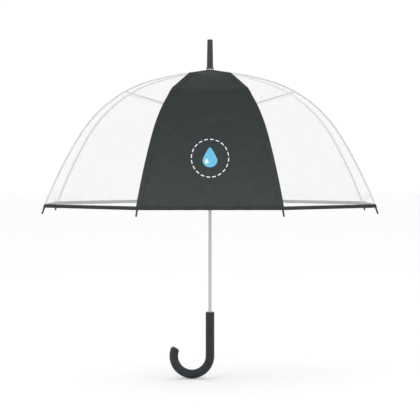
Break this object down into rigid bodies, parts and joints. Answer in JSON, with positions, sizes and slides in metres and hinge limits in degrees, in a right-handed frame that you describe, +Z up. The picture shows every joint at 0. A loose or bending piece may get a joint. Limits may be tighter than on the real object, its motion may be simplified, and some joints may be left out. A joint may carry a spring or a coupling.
{
  "type": "clear bubble umbrella",
  "caption": "Deep domed clear umbrella with one dark panel, bound hem, straight ferrule, slim steel shaft, sliding runner and a soft J hook handle; it folds by its runner.",
  "frame": {"origin": "on the shaft axis at the height of the hook's lowest point, the centre of the open umbrella's bounding box floor", "axes": "+Z up the shaft to the ferrule, -X towards the hook's free end, -Y towards the dark front panel"},
  "size_m": [0.8058, 0.8058, 0.844],
  "materials": {
    "shaft_steel": "satin chrome-plated tube",
    "black_plastic": "fine matte moulded plastic",
    "pale_plastic": "smooth moulded plastic",
    "wire_steel": "drawn wire",
    "soft_touch_rubber": "soft-touch coating",
    "collar_metal": "polished ring",
    "runner_plastic": "fine matte moulded plastic",
    "spring_steel": "bright spring steel",
    "rib_steel": "bright galvanised channel",
    "clear_film": "clear soft film, slightly hazy",
    "dark_panel": "fine dark woven polyester",
    "dark_tape": "woven binding tape"
  },
  "bodies": {
    "shaft": {"shaft_tube": "shaft_steel", "ferrule": "black_plastic", "canopy_washer": "pale_plastic", "top_notch": "black_plastic", "notch_ring_wire": "wire_steel", "runner_stop_pin": "wire_steel", "handle_grip": "soft_touch_rubber", "handle_collar": "collar_metal"},
    "runner": {"runner": "runner_plastic"},
    "top_catch": {"top_catch": "spring_steel"},
    "bottom_catch": {"bottom_catch": "spring_steel"},
    "upper_rib_1": {"upper_rib_1": "rib_steel"},
    "lower_rib_1": {"lower_rib_1": "rib_steel", "tip_cap_1": "black_plastic"},
    "stretcher_1": {"stretcher_1": "rib_steel"},
    "panel_1": {"panel_1": "clear_film"},
    "panel_skirt_1": {"hem_tape_1": "dark_tape"},
    "upper_rib_2": {"upper_rib_2": "rib_steel"},
    "lower_rib_2": {"lower_rib_2": "rib_steel", "tip_cap_2": "black_plastic"},
    "stretcher_2": {"stretcher_2": "rib_steel"},
    "panel_2": {"panel_2": "clear_film"},
    "panel_skirt_2": {"hem_tape_2": "dark_tape"},
    "upper_rib_3": {"upper_rib_3": "rib_steel"},
    "lower_rib_3": {"lower_rib_3": "rib_steel", "tip_cap_3": "black_plastic"},
    "stretcher_3": {"stretcher_3": "rib_steel"},
    "panel_3": {"panel_3": "clear_film"},
    "panel_skirt_3": {"hem_tape_3": "dark_tape", "tie_strap": "dark_tape"},
    "upper_rib_4": {"upper_rib_4": "rib_steel"},
    "lower_rib_4": {"lower_rib_4": "rib_steel", "tip_cap_4": "black_plastic"},
    "stretcher_4": {"stretcher_4": "rib_steel"},
    "panel_4": {"panel_4": "clear_film"},
    "panel_skirt_4": {"hem_tape_4": "dark_tape"},
    "upper_rib_5": {"upper_rib_5": "rib_steel"},
    "lower_rib_5": {"lower_rib_5": "rib_steel", "tip_cap_5": "black_plastic"},
    "stretcher_5": {"stretcher_5": "rib_steel"},
    "panel_5": {"panel_5": "clear_film"},
    "panel_skirt_5": {"hem_tape_5": "dark_tape"},
    "upper_rib_6": {"upper_rib_6": "rib_steel"},
    "lower_rib_6": {"lower_rib_6": "rib_steel", "tip_cap_6": "black_plastic"},
    "stretcher_6": {"stretcher_6": "rib_steel"},
    "panel_6": {"panel_6": "clear_film"},
    "panel_skirt_6": {"hem_tape_6": "dark_tape"},
    "upper_rib_7": {"upper_rib_7": "rib_steel"},
    "lower_rib_7": {"lower_rib_7": "rib_steel", "tip_cap_7": "black_plastic"},
    "stretcher_7": {"stretcher_7": "rib_steel"},
    "panel_7": {"panel_7": "dark_panel"},
    "panel_skirt_7": {"hem_tape_7": "dark_tape"},
    "upper_rib_8": {"upper_rib_8": "rib_steel"},
    "lower_rib_8": {"lower_rib_8": "rib_steel", "tip_cap_8": "black_plastic"},
    "stretcher_8": {"stretcher_8": "rib_steel"},
    "panel_8": {"panel_8": "clear_film"},
    "panel_skirt_8": {"hem_tape_8": "dark_tape"}
  },
  "joints": [
    {"name": "runner_slide", "type": "slide", "parent": "shaft", "child": "runner", "axis": [0, 0, -1], "range_m": [0, 0.3262], "deforming": ["top_catch", "bottom_catch", "panel_1", "hem_tape_1", "panel_2", "hem_tape_2", "panel_3", "hem_tape_3", "panel_4", "hem_tape_4", "panel_5", "hem_tape_5", "panel_6", "hem_tape_6", "panel_7", "hem_tape_7", "panel_8", "hem_tape_8", "tie_strap"]},
    {"name": "top_catch_press", "type": "slide", "parent": "shaft", "child": "top_catch", "axis": [0, -1, 0], "range_m": [0, 0.0028], "stiffness_N_per_m": 300},
    {"name": "bottom_catch_press", "type": "slide", "parent": "shaft", "child": "bottom_catch", "axis": [0, -1, 0], "range_m": [0, 0.0028], "stiffness_N_per_m": 300},
    {"name": "rib_fold_1", "type": "hinge", "parent": "shaft", "child": "upper_rib_1", "pos_m": [0.00878, 0.00364, 0.76463], "axis": [-0.3827, 0.9239, 0], "range_deg": [0, 68.21]},
    {"name": "rib_flex_1", "type": "hinge", "parent": "upper_rib_1", "child": "lower_rib_1", "pos_m": [0.206, 0.08533, 0.71056], "axis": [-0.3827, 0.9239, 0], "range_deg": [-28, 0]},
    {"name": "stretcher_pivot_1", "type": "hinge", "parent": "upper_rib_1", "child": "stretcher_1", "pos_m": [0.206, 0.08533, 0.71056], "axis": [-0.3827, 0.9239, 0], "range_deg": [-136.12, 0]},
    {"name": "panel_fold_1", "type": "hinge", "parent": "shaft", "child": "panel_1", "pos_m": [0.00878, 0, 0.76463], "axis": [0, 1, 0], "range_deg": [0, 67.11]},
    {"name": "panel_flex_1", "type": "hinge", "parent": "panel_1", "child": "panel_skirt_1", "pos_m": [0.20695, 0, 0.71244], "axis": [0, 1, 0], "range_deg": [-29.25, 0]},
    {"name": "rib_fold_2", "type": "hinge", "parent": "shaft", "child": "upper_rib_2", "pos_m": [0.00364, 0.00878, 0.76463], "axis": [-0.9239, 0.3827, 0], "range_deg": [0, 68.21]},
    {"name": "rib_flex_2", "type": "hinge", "parent": "upper_rib_2", "child": "lower_rib_2", "pos_m": [0.08533, 0.206, 0.71056], "axis": [-0.9239, 0.3827, 0], "range_deg": [-28, 0]},
    {"name": "stretcher_pivot_2", "type": "hinge", "parent": "upper_rib_2", "child": "stretcher_2", "pos_m": [0.08533, 0.206, 0.71056], "axis": [-0.9239, 0.3827, 0], "range_deg": [-136.12, 0]},
    {"name": "panel_fold_2", "type": "hinge", "parent": "shaft", "child": "panel_2", "pos_m": [0.00621, 0.00621, 0.76463], "axis": [-0.7071, 0.7071, 0], "range_deg": [0, 67.11]},
    {"name": "panel_flex_2", "type": "hinge", "parent": "panel_2", "child": "panel_skirt_2", "pos_m": [0.14634, 0.14634, 0.71244], "axis": [-0.7071, 0.7071, 0], "range_deg": [-29.25, 0]},
    {"name": "rib_fold_3", "type": "hinge", "parent": "shaft", "child": "upper_rib_3", "pos_m": [-0.00364, 0.00878, 0.76463], "axis": [-0.9239, -0.3827, 0], "range_deg": [0, 68.21]},
    {"name": "rib_flex_3", "type": "hinge", "parent": "upper_rib_3", "child": "lower_rib_3", "pos_m": [-0.08533, 0.206, 0.71056], "axis": [-0.9239, -0.3827, 0], "range_deg": [-28, 0]},
    {"name": "stretcher_pivot_3", "type": "hinge", "parent": "upper_rib_3", "child": "stretcher_3", "pos_m": [-0.08533, 0.206, 0.71056], "axis": [-0.9239, -0.3827, 0], "range_deg": [-136.12, 0]},
    {"name": "panel_fold_3", "type": "hinge", "parent": "shaft", "child": "panel_3", "pos_m": [0, 0.00878, 0.76463], "axis": [-1, 0, 0], "range_deg": [0, 67.11]},
    {"name": "panel_flex_3", "type": "hinge", "parent": "panel_3", "child": "panel_skirt_3", "pos_m": [0, 0.20695, 0.71244], "axis": [-1, 0, 0], "range_deg": [-29.25, 0]},
    {"name": "rib_fold_4", "type": "hinge", "parent": "shaft", "child": "upper_rib_4", "pos_m": [-0.00878, 0.00364, 0.76463], "axis": [-0.3827, -0.9239, 0], "range_deg": [0, 68.21]},
    {"name": "rib_flex_4", "type": "hinge", "parent": "upper_rib_4", "child": "lower_rib_4", "pos_m": [-0.206, 0.08533, 0.71056], "axis": [-0.3827, -0.9239, 0], "range_deg": [-28, 0]},
    {"name": "stretcher_pivot_4", "type": "hinge", "parent": "upper_rib_4", "child": "stretcher_4", "pos_m": [-0.206, 0.08533, 0.71056], "axis": [-0.3827, -0.9239, 0], "range_deg": [-136.12, 0]},
    {"name": "panel_fold_4", "type": "hinge", "parent": "shaft", "child": "panel_4", "pos_m": [-0.00621, 0.00621, 0.76463], "axis": [-0.7071, -0.7071, 0], "range_deg": [0, 67.11]},
    {"name": "panel_flex_4", "type": "hinge", "parent": "panel_4", "child": "panel_skirt_4", "pos_m": [-0.14634, 0.14634, 0.71244], "axis": [-0.7071, -0.7071, 0], "range_deg": [-29.25, 0]},
    {"name": "rib_fold_5", "type": "hinge", "parent": "shaft", "child": "upper_rib_5", "pos_m": [-0.00878, -0.00364, 0.76463], "axis": [0.3827, -0.9239, 0], "range_deg": [0, 68.21]},
    {"name": "rib_flex_5", "type": "hinge", "parent": "upper_rib_5", "child": "lower_rib_5", "pos_m": [-0.206, -0.08533, 0.71056], "axis": [0.3827, -0.9239, 0], "range_deg": [-28, 0]},
    {"name": "stretcher_pivot_5", "type": "hinge", "parent": "upper_rib_5", "child": "stretcher_5", "pos_m": [-0.206, -0.08533, 0.71056], "axis": [0.3827, -0.9239, 0], "range_deg": [-136.12, 0]},
    {"name": "panel_fold_5", "type": "hinge", "parent": "shaft", "child": "panel_5", "pos_m": [-0.00878, 0, 0.76463], "axis": [0, -1, 0], "range_deg": [0, 67.11]},
    {"name": "panel_flex_5", "type": "hinge", "parent": "panel_5", "child": "panel_skirt_5", "pos_m": [-0.20695, 0, 0.71244], "axis": [0, -1, 0], "range_deg": [-29.25, 0]},
    {"name": "rib_fold_6", "type": "hinge", "parent": "shaft", "child": "upper_rib_6", "pos_m": [-0.00364, -0.00878, 0.76463], "axis": [0.9239, -0.3827, 0], "range_deg": [0, 68.21]},
    {"name": "rib_flex_6", "type": "hinge", "parent": "upper_rib_6", "child": "lower_rib_6", "pos_m": [-0.08533, -0.206, 0.71056], "axis": [0.9239, -0.3827, 0], "range_deg": [-28, 0]},
    {"name": "stretcher_pivot_6", "type": "hinge", "parent": "upper_rib_6", "child": "stretcher_6", "pos_m": [-0.08533, -0.206, 0.71056], "axis": [0.9239, -0.3827, 0], "range_deg": [-136.12, 0]},
    {"name": "panel_fold_6", "type": "hinge", "parent": "shaft", "child": "panel_6", "pos_m": [-0.00621, -0.00621, 0.76463], "axis": [0.7071, -0.7071, 0], "range_deg": [0, 67.11]},
    {"name": "panel_flex_6", "type": "hinge", "parent": "panel_6", "child": "panel_skirt_6", "pos_m": [-0.14634, -0.14634, 0.71244], "axis": [0.7071, -0.7071, 0], "range_deg": [-29.25, 0]},
    {"name": "rib_fold_7", "type": "hinge", "parent": "shaft", "child": "upper_rib_7", "pos_m": [0.00364, -0.00878, 0.76463], "axis": [0.9239, 0.3827, 0], "range_deg": [0, 68.21]},
    {"name": "rib_flex_7", "type": "hinge", "parent": "upper_rib_7", "child": "lower_rib_7", "pos_m": [0.08533, -0.206, 0.71056], "axis": [0.9239, 0.3827, 0], "range_deg": [-28, 0]},
    {"name": "stretcher_pivot_7", "type": "hinge", "parent": "upper_rib_7", "child": "stretcher_7", "pos_m": [0.08533, -0.206, 0.71056], "axis": [0.9239, 0.3827, 0], "range_deg": [-136.12, 0]},
    {"name": "panel_fold_7", "type": "hinge", "parent": "shaft", "child": "panel_7", "pos_m": [0, -0.00878, 0.76463], "axis": [1, 0, 0], "range_deg": [0, 67.11]},
    {"name": "panel_flex_7", "type": "hinge", "parent": "panel_7", "child": "panel_skirt_7", "pos_m": [0, -0.20695, 0.71244], "axis": [1, 0, 0], "range_deg": [-29.25, 0]},
    {"name": "rib_fold_8", "type": "hinge", "parent": "shaft", "child": "upper_rib_8", "pos_m": [0.00878, -0.00364, 0.76463], "axis": [0.3827, 0.9239, 0], "range_deg": [0, 68.21]},
    {"name": "rib_flex_8", "type": "hinge", "parent": "upper_rib_8", "child": "lower_rib_8", "pos_m": [0.206, -0.08533, 0.71056], "axis": [0.3827, 0.9239, 0], "range_deg": [-28, 0]},
    {"name": "stretcher_pivot_8", "type": "hinge", "parent": "upper_rib_8", "child": "stretcher_8", "pos_m": [0.206, -0.08533, 0.71056], "axis": [0.3827, 0.9239, 0], "range_deg": [-136.12, 0]},
    {"name": "panel_fold_8", "type": "hinge", "parent": "shaft", "child": "panel_8", "pos_m": [0.00621, -0.00621, 0.76463], "axis": [0.7071, 0.7071, 0], "range_deg": [0, 67.11]},
    {"name": "panel_flex_8", "type": "hinge", "parent": "panel_8", "child": "panel_skirt_8", "pos_m": [0.14634, -0.14634, 0.71244], "axis": [0.7071, 0.7071, 0], "range_deg": [-29.25, 0]}
  ],
  "couplings": [
    {"joint": "rib_fold_1", "follows": "runner_slide", "rad_per_m": 3.649},
    {"joint": "rib_flex_1", "follows": "runner_slide", "rad_per_m": -1.4981},
    {"joint": "stretcher_pivot_1", "follows": "runner_slide", "rad_per_m": -7.2825},
    {"joint": "panel_fold_1", "follows": "runner_slide", "rad_per_m": 3.5902},
    {"joint": "panel_flex_1", "follows": "runner_slide", "rad_per_m": -1.565},
    {"joint": "rib_fold_2", "follows": "runner_slide", "rad_per_m": 3.649},
    {"joint": "rib_flex_2", "follows": "runner_slide", "rad_per_m": -1.4981},
    {"joint": "stretcher_pivot_2", "follows": "runner_slide", "rad_per_m": -7.2825},
    {"joint": "panel_fold_2", "follows": "runner_slide", "rad_per_m": 3.5902},
    {"joint": "panel_flex_2", "follows": "runner_slide", "rad_per_m": -1.565},
    {"joint": "rib_fold_3", "follows": "runner_slide", "rad_per_m": 3.649},
    {"joint": "rib_flex_3", "follows": "runner_slide", "rad_per_m": -1.4981},
    {"joint": "stretcher_pivot_3", "follows": "runner_slide", "rad_per_m": -7.2825},
    {"joint": "panel_fold_3", "follows": "runner_slide", "rad_per_m": 3.5902},
    {"joint": "panel_flex_3", "follows": "runner_slide", "rad_per_m": -1.565},
    {"joint": "rib_fold_4", "follows": "runner_slide", "rad_per_m": 3.649},
    {"joint": "rib_flex_4", "follows": "runner_slide", "rad_per_m": -1.4981},
    {"joint": "stretcher_pivot_4", "follows": "runner_slide", "rad_per_m": -7.2825},
    {"joint": "panel_fold_4", "follows": "runner_slide", "rad_per_m": 3.5902},
    {"joint": "panel_flex_4", "follows": "runner_slide", "rad_per_m": -1.565},
    {"joint": "rib_fold_5", "follows": "runner_slide", "rad_per_m": 3.649},
    {"joint": "rib_flex_5", "follows": "runner_slide", "rad_per_m": -1.4981},
    {"joint": "stretcher_pivot_5", "follows": "runner_slide", "rad_per_m": -7.2825},
    {"joint": "panel_fold_5", "follows": "runner_slide", "rad_per_m": 3.5902},
    {"joint": "panel_flex_5", "follows": "runner_slide", "rad_per_m": -1.565},
    {"joint": "rib_fold_6", "follows": "runner_slide", "rad_per_m": 3.649},
    {"joint": "rib_flex_6", "follows": "runner_slide", "rad_per_m": -1.4981},
    {"joint": "stretcher_pivot_6", "follows": "runner_slide", "rad_per_m": -7.2825},
    {"joint": "panel_fold_6", "follows": "runner_slide", "rad_per_m": 3.5902},
    {"joint": "panel_flex_6", "follows": "runner_slide", "rad_per_m": -1.565},
    {"joint": "rib_fold_7", "follows": "runner_slide", "rad_per_m": 3.649},
    {"joint": "rib_flex_7", "follows": "runner_slide", "rad_per_m": -1.4981},
    {"joint": "stretcher_pivot_7", "follows": "runner_slide", "rad_per_m": -7.2825},
    {"joint": "panel_fold_7", "follows": "runner_slide", "rad_per_m": 3.5902},
    {"joint": "panel_flex_7", "follows": "runner_slide", "rad_per_m": -1.565},
    {"joint": "rib_fold_8", "follows": "runner_slide", "rad_per_m": 3.649},
    {"joint": "rib_flex_8", "follows": "runner_slide", "rad_per_m": -1.4981},
    {"joint": "stretcher_pivot_8", "follows": "runner_slide", "rad_per_m": -7.2825},
    {"joint": "panel_fold_8", "follows": "runner_slide", "rad_per_m": 3.5902},
    {"joint": "panel_flex_8", "follows": "runner_slide", "rad_per_m": -1.565}
  ]
}
